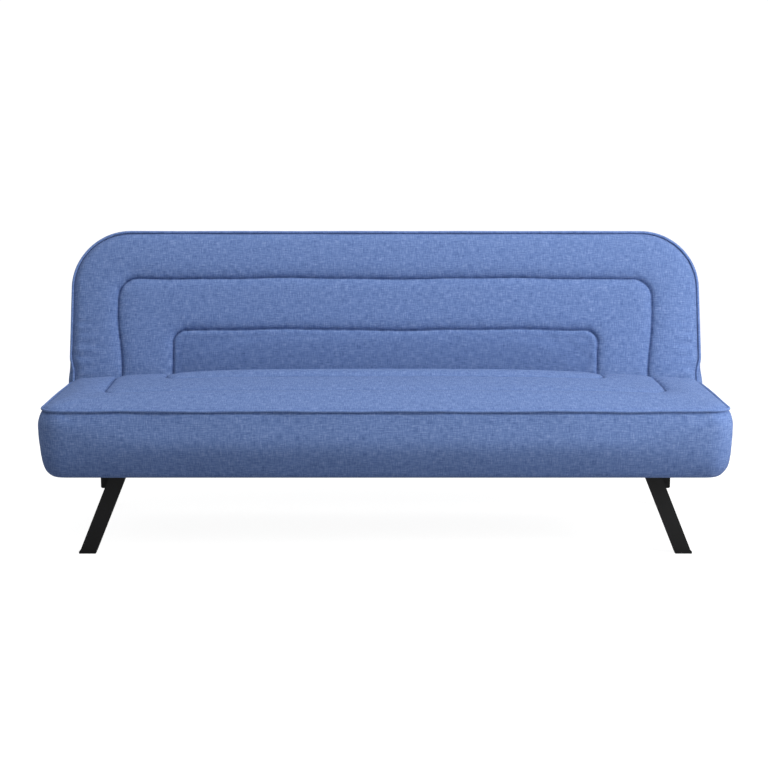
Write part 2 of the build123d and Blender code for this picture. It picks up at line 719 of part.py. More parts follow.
with BuildPart() as pawl:
    with BuildSketch(hinge_plane(PAWL_X0)):
        with Locations((PAWL_U, PAWL_N)):
            Circle(PAWL_HUB_R)
        with BuildLine():
            Polyline(
                (PAWL_U - 7, PAWL_N + 4), (SECTOR_R + 4.5, -TOOTH_HALF), (TOOTH_TIP, -TOOTH_HALF),
                (TOOTH_TIP, TOOTH_HALF), (SECTOR_R + 14, TOOTH_HALF + 2), (PAWL_U + 7, PAWL_N + 4),
                close=True,
            )
        make_face()
        with Locations((PAWL_U, PAWL_N)):
            Circle(PAWL_PIN_R + PIN_PLAY, mode=Mode.SUBTRACT)
    extrude(amount=PAWL_X1 - PAWL_X0)

with BuildPart() as pawl_pin:
    with BuildSketch(hinge_plane(WEB_X0 - 1.5)):
        with Locations((PAWL_U, PAWL_N)):
            Circle(6)
    extrude(amount=1.2)
    with BuildSketch(hinge_plane(WEB_X0 - 0.3)):
        with Locations((PAWL_U, PAWL_N)):
            Circle(PAWL_PIN_R)
    extrude(amount=ARM_X1 - WEB_X0 + 0.3)
    with BuildSketch(hinge_plane(ARM_X1)):
        with Locations((PAWL_U, PAWL_N)):
            Circle(5)
    extrude(amount=1.5)

with BuildPart() as pawl_spring:
    for turn in range(COILS):
        with BuildSketch(hinge_plane(WEB_X0 + 0.3 + COIL_PITCH * turn)):
            with Locations((PAWL_U, PAWL_N)):
                Circle(SPRING_COIL_R + SPRING_WIRE_R)
                Circle(SPRING_COIL_R - SPRING_WIRE_R, mode=Mode.SUBTRACT)
        extrude(amount=COIL_PITCH + 0.05)

# ------------------------------------------------------------------ buffers

with BuildPart() as buffer_posts:
    for side in (-1, 1):
        with Locations((side * PAD_X, PAD_Y, (RAIL_Z1 + PAD_TOP - PAD_T) / 2)):
            Box(POST_W, POST_W, PAD_TOP - PAD_T - RAIL_Z1)
        with Locations((side * PAD_X, PAD_Y, RAIL_Z1 - 5)):
            Cylinder(BOLT_R, 10)

with BuildPart() as buffer_pads:
    for side in (-1, 1):
        with Locations((side * PAD_X, PAD_Y, PAD_TOP - PAD_T / 2)):
            Box(PAD_W, PAD_W, PAD_T)
    fillet(buffer_pads.edges().filter_by(Axis.Z), 4)

# ------------------------------------------------------------------ write the nodes

save(seat_cover.part, "seat_cover")
save(seat_foam.part, "seat_foam")
save(seat_welt.part, "seat_welt")
save(seat_frame.part, "seat_frame")
save(seat_springs.part, "seat_springs")
save(seat_spring_clips.part, "seat_spring_clips")
save(seat_dust_cover.part, "seat_dust_cover")
save(back_cover.part, "back_cover")
save(back_foam.part, "back_foam")
save(back_welt.part, "back_welt")
save(back_frame.part, "back_frame")
save(back_springs.part, "back_springs")
save(back_spring_clips.part, "back_spring_clips")
save(back_rear_panel.part, "back_rear_panel")
save(rail_end_caps.part, "rail_end_caps")
save(rear_cross_tube.part, "rear_cross_tube")
save(buffer_posts.part, "buffer_posts")
save(buffer_pads.part, "buffer_pads")
save(bolts(SEAT_BOLTS, RAIL_Z0, 66), "rail_bolts")
save(bolts(LEG_PLATE_BOLTS, RAIL_Z1 - PLATE_T, 20), "front_leg_bolts")
save(bolts(REAR_PLATE_BOLTS, RAIL_Z0 - PLATE_T, 14), "rear_leg_bolts")
save(bolts(BRACKET_BOLTS, RAIL_Z1 + FLANGE_T, 12, -1), "bracket_bolts")
save(both_sides(washer.part), "pivot_washers")
save(both_sides(arm_bolts.part), "hinge_arm_bolts")
save(both_sides(pawl_pin.part), "pawl_pins")
save(both_sides(pawl_spring.part), "pawl_springs")

HINGE_BRACKET = bracket()
for side, word in ((-1, "left"), (1, "right")):
    save(side_rail(side), "side_rail_" + word)
    save(
        slanted_leg(side, FRONT_FOOT_X, FRONT_LEG_Y, RAIL_Z1, (672, 728.5), 46, LEG_PLATE_BOLTS),
        "front_leg_" + word,
    )
    save(
        slanted_leg(side, REAR_FOOT_X, REAR_LEG_Y, RAIL_Z0, (728, 792), 40, REAR_PLATE_BOLTS),
        "rear_leg_" + word,
    )
    save(foot_glide(side, FRONT_FOOT_X, FRONT_LEG_Y), "front_glide_" + word)
    save(foot_glide(side, REAR_FOOT_X, REAR_LEG_Y), "rear_glide_" + word)
    for part, label in (
        (HINGE_BRACKET, "hinge_bracket_"),
        (ratchet.part, "ratchet_sector_"),
        (pivot_pin.part, "pivot_pin_"),
        (hinge_arm.part, "hinge_arm_"),
        (pawl.part, "pawl_"),
    ):
        save(part if side > 0 else mirror(part, about=Plane.YZ), label + word)
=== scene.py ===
import json
import math

import bmesh
import bpy
import numpy as np
from mathutils import Matrix, Vector


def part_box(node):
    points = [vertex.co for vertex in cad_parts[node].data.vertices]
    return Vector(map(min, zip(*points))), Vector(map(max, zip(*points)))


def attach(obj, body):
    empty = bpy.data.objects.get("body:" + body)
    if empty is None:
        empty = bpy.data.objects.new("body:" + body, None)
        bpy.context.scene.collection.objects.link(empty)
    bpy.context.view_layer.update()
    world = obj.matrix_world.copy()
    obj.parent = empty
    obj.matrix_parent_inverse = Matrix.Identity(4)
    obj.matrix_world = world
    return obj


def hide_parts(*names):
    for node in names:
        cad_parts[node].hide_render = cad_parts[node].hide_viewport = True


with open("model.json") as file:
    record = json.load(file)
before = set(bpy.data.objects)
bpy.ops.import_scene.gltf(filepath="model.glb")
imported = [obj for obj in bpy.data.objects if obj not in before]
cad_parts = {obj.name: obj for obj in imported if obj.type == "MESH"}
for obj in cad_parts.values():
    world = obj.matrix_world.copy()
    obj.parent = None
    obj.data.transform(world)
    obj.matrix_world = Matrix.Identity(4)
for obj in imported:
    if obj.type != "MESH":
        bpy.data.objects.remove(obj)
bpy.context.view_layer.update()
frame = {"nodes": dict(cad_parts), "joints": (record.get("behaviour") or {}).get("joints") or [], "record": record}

# ---------------------------------------------------------------- sizes, metres

FRONT_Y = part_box("seat_welt")[0].y
SEAT_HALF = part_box("seat_welt")[1].x
SEAT_REAR_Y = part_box("seat_cover")[1].y
SEAT_Z0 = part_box("seat_cover")[0].z
SEAT_WELT_Z = 0.4020
SEAT_FRONT_R = 0.074
SEAT_REAR_R = 0.034
SEAT_EDGE_Z = 0.4165
SEAT_CROWN = 0.028
SEAT_LIP = 0.022

RECLINE = next(j for j in frame["joints"] if j["name"] == "recline")
PIVOT = Vector(RECLINE["pos_m"])
LEAN = math.radians(18)
UP_SLOPE = Vector((0, math.sin(LEAN), math.cos(LEAN)))
FACING = Vector((0, -math.cos(LEAN), math.sin(LEAN)))
BACK_FRAME = Matrix(
    (
        (1, 0, 0, PIVOT.x),
        (0, UP_SLOPE.y, FACING.y, PIVOT.y),
        (0, UP_SLOPE.z, FACING.z, PIVOT.z),
        (0, 0, 0, 1),
    )
)
BACK_HALF = 0.919
BACK_LOW = -0.049
BACK_HIGH = 0.469
BACK_TOP_R = 0.172
BACK_BOTTOM_R = 0.03
BACK_REAR_N = -0.072
BACK_FACE_N = 0.067
BACK_WELT_N = 0.056
BACK_ROLL_R = 0.060
CREASE_U = 0.050
SLOT_X = (0.730, 0.766)
SLOT_U = 0.036
SLOT_N = 0.036

WELT_R = 0.0038
SEAT_PIPING_INSET = 0.0148
BACK_PIPING_INSET = 0.0070
VOXEL = 0.0065
COARSE_VOXEL = 0.012
HELD_WIDTH = 0.006  # half width of the cloth held at a seam or welt
PRESSURE = 1.2
SEAT_SWELL = 0.006
BACK_SWELL = 0.007
SEAM_HALF = 0.0026
GROOVE_HALF = 0.0032
GROOVE_DEPTH = 0.0035
REMESH_SMOOTH = 3

# sewn channels: half width, distance of the cross seam, corner radius
SEAT_CHANNELS = ((0.762, 0.190, 0.050), (0.616, 0.355, 0.040))
BACK_CHANNELS = ((0.776, CREASE_U + 0.273, 0.058), (0.618, CREASE_U + 0.121, 0.040))
CHANNEL_DRAW_IN = 0.016

# rear lining and the staples, in the backrest's own frame
REAR_LOW = 0.038
REAR_HIGH = 0.430
REAR_CORNER_R = 0.126
THREAD_PITCH = 0.0017

# camera and stage
CAMERA_BACK = 4.110
CAMERA_HEIGHT = 1.160
CAMERA_SIDE = -0.004
CAMERA_DROP = 9.45
SENSOR = 36
LENS = 75.9375
FLOOR_HALF = 9.0


def smooth(a, b, x):
    """0 before a, 1 after b, and a smooth turn between them."""
    t = np.clip((x - a) / (b - a), 0, 1)
    return t * t * (3 - 2 * t)


def ripple(*terms):
    """Sum of sines: (array, wavelength, phase, height) for each term."""
    total = 0
    for at, length, phase, height in terms:
        total = total + height * np.sin(2 * np.pi * at / length + phase)
    return total


# ---------------------------------------------------------------- mesh tools


def outline(half, low, high, low_r, high_r, inset=0.0, counts=(2, 2, 14)):
    """Rounded rectangle in a plane, anticlockwise from its lower left side, moved in by inset."""
    nx, ny, nc = counts
    half, low, high = half - inset, low + inset, high - inset
    low_r, high_r = max(low_r - inset, 0.003), max(high_r - inset, 0.003)
    corners = (
        (half - low_r, low + low_r, low_r, -90),
        (half - high_r, high - high_r, high_r, 0),
        (-half + high_r, high - high_r, high_r, 90),
        (-half + low_r, low + low_r, low_r, 180),
    )
    points = []
    for k, (cx, cy, r, start) in enumerate(corners):
        arc = [math.radians(start + 90 * i / (nc - 1)) for i in range(nc)]
        points += [(cx + r * math.cos(a), cy + r * math.sin(a)) for a in arc]
        nxt = corners[(k + 1) % 4]
        first = math.radians(nxt[3])
        end = (nxt[0] + nxt[2] * math.cos(first), nxt[1] + nxt[2] * math.sin(first))
        begin = points[-1]
        steps = ny if k % 2 == 0 else nx
        for i in range(1, steps):
            t = i / steps
            points.append((begin[0] + (end[0] - begin[0]) * t, begin[1] + (end[1] - begin[1]) * t))
    return points


def mesh_object(name, points, faces):
    mesh = bpy.data.meshes.new(name)
    mesh.from_pydata([tuple(p) for p in points], [], faces)
    mesh.validate()
    mesh.update()
    made = bpy.data.objects.new(name, mesh)
    bpy.context.scene.collection.objects.link(made)
    return made


def ring_solid(name, profile, **shape):
    """Closed solid from stacked outlines: profile is (inset, height) from bottom to top."""
    points, faces = [], []
    for inset, height in profile:
        points += [(x, y, height) for x, y in outline(inset=inset, **shape)]
    n = len(points) // len(profile)
    for k in range(len(profile) - 1):
        for i in range(n):
            j = (i + 1) % n
            faces.append((k * n + i, k * n + j, (k + 1) * n + j, (k + 1) * n + i))
    faces.append(tuple(reversed(range(n))))
    faces.append(tuple(range((len(profile) - 1) * n, len(profile) * n)))
    return mesh_object(name, points, faces)


def bake_modifiers(obj):
    """Replaces the object's mesh with its evaluated mesh and drops its modifiers."""
    bpy.context.view_layer.update()
    graph = bpy.context.evaluated_depsgraph_get()
    mesh = bpy.data.meshes.new_from_object(obj.evaluated_get(graph))
    old = obj.data
    obj.modifiers.clear()
    obj.data = mesh
    bpy.data.meshes.remove(old)
    mesh.name = obj.name


def coords(obj):
    flat = np.empty(len(obj.data.vertices) * 3)
    obj.data.vertices.foreach_get("co", flat)
    return flat.reshape(-1, 3)


def normals(obj):
    flat = np.empty(len(obj.data.vertices) * 3, np.float32)
    obj.data.vertex_normals.foreach_get("vector", flat)
    return flat.reshape(-1, 3).astype(float)


def put(obj, points):
    obj.data.vertices.foreach_set("co", np.ascontiguousarray(points).ravel())
    obj.data.update()


def remesh(obj, voxel):
    made = obj.modifiers.new("remesh", "REMESH")
    made.mode = "VOXEL"
    made.voxel_size = voxel
    even = obj.modifiers.new("even", "SMOOTH")
    even.factor = 0.5
    even.iterations = REMESH_SMOOTH
    bake_modifiers(obj)


def subdivide(obj):
    made = obj.modifiers.new("subdivide", "SUBSURF")
    made.levels = 1
    made.render_levels = 1
    bake_modifiers(obj)


def attribute(obj, name, values, kind="FLOAT"):
    made = obj.data.attributes.new(name, kind, "POINT")
    field = "value" if kind == "FLOAT" else "vector"
    made.data.foreach_set(field, np.ascontiguousarray(values, dtype=np.float32).ravel())


def inflate(obj, held, pressure, cap, frames=16):
    """Blows the cloth up between its held seams; no point moves further than cap."""
    before = coords(obj)
    group = obj.vertex_groups.new(name="held")
    group.add([int(i) for i in np.flatnonzero(held)], 1.0, "REPLACE")
    cloth = obj.modifiers.new("cloth", "CLOTH")
    cloth.settings.quality = 4
    cloth.settings.mass = 0.3
    cloth.settings.tension_stiffness = 12
    cloth.settings.compression_stiffness = 12
    cloth.settings.shear_stiffness = 4
    cloth.settings.bending_stiffness = 0.4
    cloth.settings.use_pressure = True
    cloth.settings.uniform_pressure_force = pressure
    cloth.settings.vertex_group_mass = "held"
    cloth.settings.effector_weights.gravity = 0
    cloth.collision_settings.use_collision = False
    cloth.collision_settings.use_self_collision = False
    cloth.point_cache.frame_start = 1
    cloth.point_cache.frame_end = frames
    for step in range(1, frames + 1):
        bpy.context.scene.frame_set(step)
    graph = bpy.context.evaluated_depsgraph_get()
    blown = obj.evaluated_get(graph).to_mesh()
    flat = np.empty(len(blown.vertices) * 3)
    blown.vertices.foreach_get("co", flat)
    moved = flat.reshape(-1, 3) - before
    length = np.linalg.norm(moved, axis=1, keepdims=True)
    moved *= np.minimum(1, cap / np.maximum(length, 1e-9))
    obj.evaluated_get(graph).to_mesh_clear()
    obj.modifiers.clear()
    obj.vertex_groups.clear()
    bpy.context.scene.frame_set(1)
    put(obj, before + moved)


def u_distance(across, along, half, reach, radius):
    """Signed distance to a U seam: two legs at +-half run towards -along from a cross seam at reach."""
    deep = 2.0
    qx = np.abs(across) - (half - radius)
    qy = np.abs(along - (reach - deep)) - (deep - radius)
    outside = np.hypot(np.maximum(qx, 0), np.maximum(qy, 0))
    return outside + np.minimum(np.maximum(qx, qy), 0) - radius


def tube(name, path, radius, closed, sides=12):
    """Round cord along a path of points."""
    path = np.asarray(path)
    if closed:
        ahead, behind = np.roll(path, -1, 0), np.roll(path, 1, 0)
    else:
        ahead = np.vstack([path[1:], 2 * path[-1] - path[-2]])
        behind = np.vstack([2 * path[0] - path[1], path[:-1]])
    tangent = ahead - behind
    tangent /= np.linalg.norm(tangent, axis=1, keepdims=True)
    reference = np.array([0.0, 0.0, 1.0])
    side = np.cross(tangent, reference)
    side /= np.linalg.norm(side, axis=1, keepdims=True)
    over = np.cross(side, tangent)
    points, faces = [], []
    n = len(path)
    for i in range(n):
        for k in range(sides):
            a = 2 * math.pi * k / sides
            points.append(path[i] + radius * (math.cos(a) * side[i] + math.sin(a) * over[i]))
    for i in range(n if closed else n - 1):
        j = (i + 1) % n
        for k in range(sides):
            m = (k + 1) % sides
            faces.append((i * sides + k, i * sides + m, j * sides + m, j * sides + k))
    if not closed:
        faces.append(tuple(range(sides)))
        faces.append(tuple(reversed(range((n - 1) * sides, n * sides))))
    made = mesh_object(name, points, faces)
    clean_normals(made)
    steps = np.linalg.norm(ahead - path, axis=1)
    run = np.concatenate([[0], np.cumsum(steps)[:-1]])
    cloth = np.zeros((n * sides, 3))
    cloth[:, 0] = np.repeat(run, sides)
    cloth[:, 1] = np.tile(np.arange(sides) / sides * 2 * math.pi * radius, n)
    attribute(made, "cloth", cloth, "FLOAT_VECTOR")
    attribute(made, "seam", np.zeros(n * sides))
    return made


def shade_smooth(obj):
    obj.data.shade_smooth()


def clean_normals(obj):
    """Turns every face outwards."""
    work = bmesh.new()
    work.from_mesh(obj.data)
    bmesh.ops.recalc_face_normals(work, faces=work.faces)
    work.to_mesh(obj.data)
    work.free()


# ---------------------------------------------------------------- materials


class Nodes:
    """Short hand for building one material's node tree."""

    def __init__(self, name):
        self.material = bpy.data.materials.new(name)
        self.material.use_nodes = True
        self.tree = self.material.node_tree
        self.shader = self.tree.nodes["Principled BSDF"]

    def add(self, kind, **values):
        node = self.tree.nodes.new(kind)
        for key, value in values.items():
            setattr(node, key, value)
        return node

    def link(self, a, b):
        self.tree.links.new(a, b)

    def math(self, operation, a, b=None):
        node = self.add("ShaderNodeMath", operation=operation)
        for socket, value in zip(node.inputs, (a, b)):
            if value is None:
                continue
            if isinstance(value, (int, float)):
                socket.default_value = value
            else:
                self.link(value, socket)
        return node.outputs[0]

    def scaled(self, vector, scale):
        node = self.add("ShaderNodeVectorMath", operation="MULTIPLY")
        self.link(vector, node.inputs[0])
        node.inputs[1].default_value = scale
        return node.outputs[0]

    def noise(self, vector, scale, detail=2.0, rough=0.5):
        node = self.add("ShaderNodeTexNoise")
        self.link(vector, node.inputs["Vector"])
        node.inputs["Scale"].default_value = scale
        node.inputs["Detail"].default_value = detail
        node.inputs["Roughness"].default_value = rough
        return node.outputs["Fac"]

    def ramp(self, fac, stops):
        node = self.add("ShaderNodeValToRGB")
        elements = node.color_ramp.elements
        while len(elements) < len(stops):
            elements.new(0.5)
        for element, (at, colour) in zip(elements, stops):
            element.position = at
            element.color = (*colour, 1)
        self.link(fac, node.inputs["Fac"])
        return node.outputs["Color"]

    def bump(self, height, strength, distance):
        node = self.add("ShaderNodeBump")
        node.inputs["Strength"].default_value = strength
        node.inputs["Distance"].default_value = distance
        self.link(height, node.inputs["Height"])
        self.link(node.outputs["Normal"], self.shader.inputs["Normal"])

    def set(self, **values):
        for key, value in values.items():
            self.shader.inputs[key.replace("_", " ")].default_value = value


def linen(name, dark, mid, light):
    """Heathered plain weave with slubs in both directions; seams are darker, with a painted shadow line under the
    welt, and painted shade darkens the lower seat boxing and the inner back panel.
    """
    n = Nodes(name)
    cloth = n.add("ShaderNodeAttribute", attribute_name="cloth").outputs["Vector"]
    seam = n.add("ShaderNodeAttribute", attribute_name="seam").outputs["Fac"]
    # painted shade: this attribute marks where the colour is darkened to stand in for shade
    painted_shade = n.add("ShaderNodeAttribute", attribute_name="painted_shade").outputs["Fac"]
    weft = n.noise(n.scaled(cloth, (46, 400, 1)), 1.0, 4, 0.68)
    warp = n.noise(n.scaled(cloth, (400, 46, 1)), 1.0, 4, 0.68)
    heather = n.noise(cloth, 60.0, 4, 0.6)
    mix = n.math("ADD", n.math("MULTIPLY", weft, 0.45), n.math("MULTIPLY", warp, 0.40))
    mix = n.math("ADD", mix, n.math("MULTIPLY", heather, 0.15))
    colour = n.ramp(mix, ((0.37, dark), (0.5, mid), (0.63, light)))
    # darker seam lines, and the painted shadow line under the welt that the seam attribute also carries
    shade = n.add("ShaderNodeMix", data_type="RGBA", blend_type="MULTIPLY")
    n.link(n.math("MULTIPLY", seam, 0.8), shade.inputs[0])
    n.link(colour, shade.inputs[6])
    shade.inputs[7].default_value = (0.09, 0.15, 0.30, 1)
    # painted shade: this mix darkens the colour of the lower seat boxing and the inner back panel
    deep = n.add("ShaderNodeMix", data_type="RGBA", blend_type="MULTIPLY")
    n.link(painted_shade, deep.inputs[0])
    n.link(shade.outputs[2], deep.inputs[6])
    deep.inputs[7].default_value = (0.40, 0.45, 0.55, 1)
    n.link(deep.outputs[2], n.shader.inputs["Base Color"])
    parts = n.add("ShaderNodeSeparateXYZ")
    n.link(cloth, parts.inputs[0])
    wander = n.math("MULTIPLY", n.noise(cloth, 160.0, 1), 1.8)
    thread = 2 * math.pi / THREAD_PITCH
    over = n.math("SINE", n.math("ADD", n.math("MULTIPLY", parts.outputs[0], thread), wander))
    under = n.math("SINE", n.math("ADD", n.math("MULTIPLY", parts.outputs[1], thread), wander))
    weave = n.math("MULTIPLY", over, under)
    height = n.math("ADD", n.math("MULTIPLY", weave, 0.35), n.math("MULTIPLY", mix, 1.6))
    n.bump(height, 0.55, 0.0012)
    n.set(Roughness=0.9, Sheen_Weight=0.08, Sheen_Roughness=0.45)
    n.shader.inputs["Sheen Tint"].default_value = (0.62, 0.72, 1.0, 1)
    n.shader.inputs["Specular IOR Level"].default_value = 0.2
    return n.material


def coated(name, colour, rough, grain, strength):
    """Powder coat, moulded plastic or rubber: fine grain, slightly uneven gloss."""
    n = Nodes(name)
    place = n.add("ShaderNodeTexCoord").outputs["Object"]
    fine = n.noise(place, grain, 2)
    broad = n.noise(place, 14.0, 3)
    lifted = tuple(c * 1.9 for c in colour)
    n.link(n.ramp(broad, ((0.3, colour), (0.75, lifted))), n.shader.inputs["Base Color"])
    n.link(n.math("ADD", n.math("MULTIPLY", fine, 0.16), rough - 0.08), n.shader.inputs["Roughness"])
    n.bump(fine, strength, 0.0004)
    n.shader.inputs["Specular IOR Level"].default_value = 0.28
    return n.material


def metal(name, colour, rough):
    """Plated or drawn steel with faint brushing and dull patches."""
    n = Nodes(name)
    place = n.add("ShaderNodeTexCoord").outputs["Object"]
    brushed = n.noise(n.scaled(place, (40, 900, 900)), 1.0, 2)
    dull = n.noise(place, 30.0, 3)
    worn = tuple(c * 0.62 for c in colour)
    n.link(n.ramp(dull, ((0.35, worn), (0.65, colour))), n.shader.inputs["Base Color"])
    n.link(n.math("ADD", n.math("MULTIPLY", dull, 0.25), rough - 0.1), n.shader.inputs["Roughness"])
    n.bump(brushed, 0.12, 0.0003)
    n.set(Metallic=1.0)
    return n.material


def spunbond(name):
    """Black non-woven lining with its pressed dot pattern and loose fibres."""
    n = Nodes(name)
    place = n.add("ShaderNodeTexCoord").outputs["Object"]
    fibres = n.noise(place, 420.0, 3, 0.7)
    cloudy = n.noise(place, 22.0, 3)
    dots = n.add("ShaderNodeTexVoronoi")
    dots.inputs["Scale"].default_value = 520.0
    n.link(place, dots.inputs["Vector"])
    mix = n.math("ADD", n.math("MULTIPLY", fibres, 0.5), n.math("MULTIPLY", cloudy, 0.5))
    n.link(
        n.ramp(mix, ((0.35, (0.010, 0.010, 0.012)), (0.68, (0.040, 0.040, 0.044)))),
        n.shader.inputs["Base Color"],
    )
    n.bump(n.math("ADD", dots.outputs["Distance"], fibres), 0.4, 0.0006)
    n.set(Roughness=0.92, Sheen_Weight=0.15)
    return n.material


def foam_material(name):
    """Pale yellow open-cell foam."""
    n = Nodes(name)
    place = n.add("ShaderNodeTexCoord").outputs["Object"]
    cells = n.noise(place, 380.0, 3, 0.7)
    n.link(
        n.ramp(cells, ((0.3, (0.55, 0.47, 0.28)), (0.7, (0.78, 0.72, 0.52)))),
        n.shader.inputs["Base Color"],
    )
    n.bump(cells, 0.5, 0.001)
    n.set(Roughness=0.95)
    return n.material


CLOTH = linen("linen", (0.055, 0.097, 0.250), (0.113, 0.183, 0.390), (0.208, 0.288, 0.520))
MATERIALS = {
    "linen": CLOTH,
    # painted highlight: the welt linen is a lighter copy of the cushion linen, standing in for the light the round
    # cord catches
    "welt": linen("welt_linen", (0.062, 0.112, 0.300), (0.128, 0.205, 0.430), (0.210, 0.300, 0.560)),
    "foam": foam_material("foam"),
    "lining": spunbond("lining"),
    "black_steel": coated("black_steel", (0.0022, 0.0022, 0.0024), 0.45, 900.0, 0.2),
    "spring_steel": metal("spring_steel", (0.30, 0.30, 0.31), 0.42),
    "zinc": metal("zinc", (0.56, 0.56, 0.58), 0.34),
    "plastic": coated("plastic", (0.0035, 0.0035, 0.0038), 0.55, 500.0, 0.25),
    "rubber": coated("rubber", (0.014, 0.014, 0.014), 0.82, 350.0, 0.35),
}


def dress(obj, slot):
    obj.data.materials.clear()
    obj.data.materials.append(MATERIALS[slot])


for part in frame["record"]["subparts"]:
    node = frame["nodes"][part["node"]]
    for material_slot in node.material_slots:
        material_slot.material = MATERIALS[part["material_slot"]]

# ---------------------------------------------------------------- seat cushion


def seat_seams(p):
    forward = FRONT_Y - p[:, 1] + ripple((p[:, 0], 0.53, 0.4, 0.0015), (p[:, 0], 0.21, 2.0, 0.0008))
    across = p[:, 0] + ripple((p[:, 1], 0.24, 1.0, 0.0010))
    return np.array(
        [u_distance(across, forward, half, -front, r) for half, front, r in SEAT_CHANNELS]
    )


def seat_form():
    """Seat cushion before its seams: crowned towards the rear, with a lip over the crease."""
    z = SEAT_Z0
    profile = (
        (0.060, z), (0.052, z - 0.0045), (0.043, z - 0.0070), (0.034, z - 0.0055),
        (0.026, z + 0.0010), (0.0175, z + 0.011), (0.0110, z + 0.028), (0.0070, z + 0.050),
        (0.0045, z + 0.075), (0.0025, z + 0.105),
        (0.0018, z + 0.136), (0.0065, z + 0.157), (0.0165, SEAT_WELT_Z - 0.002),
        (0.0190, SEAT_WELT_Z + 0.002), (0.0250, 0.4085), (0.0350, 0.4130),
        (0.0520, 0.4157), (0.0800, SEAT_EDGE_Z),
    )
    seat = ring_solid(
        "SeatCushion", profile, half=SEAT_HALF, low=FRONT_Y, high=SEAT_REAR_Y,
        low_r=SEAT_FRONT_R, high_r=SEAT_REAR_R,
    )
    remesh(seat, VOXEL)
    p = coords(seat)
    top = smooth(SEAT_WELT_Z, SEAT_EDGE_Z, p[:, 2])
    depth = (p[:, 1] - FRONT_Y) / (SEAT_REAR_Y - FRONT_Y)
    rise = smooth(-0.1, 0.8, depth) * (1 - (np.abs(p[:, 0]) / SEAT_HALF) ** 3.2)
    lip = smooth(0.395, 0.42, p[:, 2]) * smooth(SEAT_REAR_Y - 0.05, SEAT_REAR_Y, p[:, 1])
    p[:, 2] += SEAT_CROWN * rise * top
    p[:, 1] += SEAT_LIP * lip
    put(seat, p)
    return seat


def make_seat():
    seat = seat_form()
    p = coords(seat)
    near = np.min(np.abs(seat_seams(p)), axis=0)
    on_top = p[:, 2] > 0.409
    at_welt = np.abs(p[:, 2] - SEAT_WELT_Z) < HELD_WIDTH
    held = ((near < HELD_WIDTH) & on_top) | at_welt | (p[:, 2] < SEAT_Z0 + HELD_WIDTH)
    inflate(seat, held, PRESSURE, SEAT_SWELL)
    subdivide(seat)
    sew_seat(seat)
    shade_smooth(seat)
    return seat


def sew_seat(seat):
    """Presses the seams, the welt line and slight slack into the inflated seat."""
    p, n = coords(seat), normals(seat)
    near = np.min(np.abs(seat_seams(p)), axis=0)
    on_top = smooth(0.405, 0.413, p[:, 2]) * smooth(0.3, 0.7, n[:, 2])
    band = 0.007 * (1 - np.exp(-near / 0.016)) - 0.007
    line = -GROOVE_DEPTH * np.exp(-((near / GROOVE_HALF) ** 2))
    pucker = ripple((p[:, 0] + p[:, 1], 0.041, 0.3, 0.0004), (p[:, 0] - p[:, 1], 0.067, 1.9, 0.0005))
    pucker = pucker * np.exp(-near / 0.02)
    welt_line = -0.0025 * np.exp(-(((p[:, 2] - SEAT_WELT_Z + 0.0055) / 0.003) ** 2))
    side = 1 - smooth(0.3, 0.6, np.abs(n[:, 2]))
    slack = ripple(
        (p[:, 0] + 0.4 * p[:, 2], 0.31, 0.5, 0.0008), (p[:, 0] - 0.9 * p[:, 2], 0.173, 2.0, 0.0006)
    )
    push = (band + line + pucker) * on_top + (welt_line + slack) * side
    put(seat, p + n * push[:, None])
    seam = np.exp(-((near / SEAM_HALF) ** 2)) * on_top
    # painted shadow: a dark line just under the welt, carried in the seam attribute with the seam lines
    painted_welt_shadow = np.exp(-(((p[:, 2] - SEAT_WELT_Z + 0.005) / SEAM_HALF) ** 2)) * side
    attribute(seat, "seam", np.maximum(seam, 0.85 * painted_welt_shadow))
    # painted shade: the boxing darkens towards its bottom
    attribute(seat, "painted_shade", 0.40 * (1 - smooth(SEAT_Z0, SEAT_Z0 + 0.12, p[:, 2])))
    attribute(seat, "cloth", wrap(p, n), "FLOAT_VECTOR")


def wrap(p, n):
    """Cloth coordinates in metres: flat on top and bottom, run round the sides."""
    flat = np.abs(n[:, 2]) > 0.72
    facing_x = np.abs(n[:, 0]) > np.abs(n[:, 1])
    run = np.where(facing_x, p[:, 1] * np.sign(n[:, 0]) + 5, p[:, 0] * -np.sign(n[:, 1]))
    cloth = np.zeros_like(p)
    cloth[:, 0] = np.where(flat, p[:, 0], run)
    cloth[:, 1] = np.where(flat, p[:, 1], p[:, 2] + 9)
    return cloth


# ---------------------------------------------------------------- back cushion


def back_seams(p):
    draw = CHANNEL_DRAW_IN * (1 - smooth(0.04, 0.22, p[:, 1]))
    across = p[:, 0] + ripple((p[:, 1], 0.19, 0.7, 0.0006))
    along = p[:, 1] + ripple((p[:, 0], 0.61, 1.3, 0.0020), (p[:, 0], 0.23, 0.2, 0.0008))
    signed = []
    for k, (half, reach, radius) in enumerate(BACK_CHANNELS):
        legs = half - draw * (1.0 if k == 0 else 0.3)
        signed.append(u_distance(across, along, legs, reach, radius))
    return np.array(signed)


def box_cutter(low, high):
    (x0, y0, z0), (x1, y1, z1) = low, high
    points = [(x, y, z) for x in (x0, x1) for y in (y0, y1) for z in (z0, z1)]
    faces = [(0, 1, 3, 2), (4, 6, 7, 5), (0, 4, 5, 1), (2, 3, 7, 6), (0, 2, 6, 4), (1, 5, 7, 3)]
    made = mesh_object("cutter", points, faces)
    clean_normals(made)
    return made


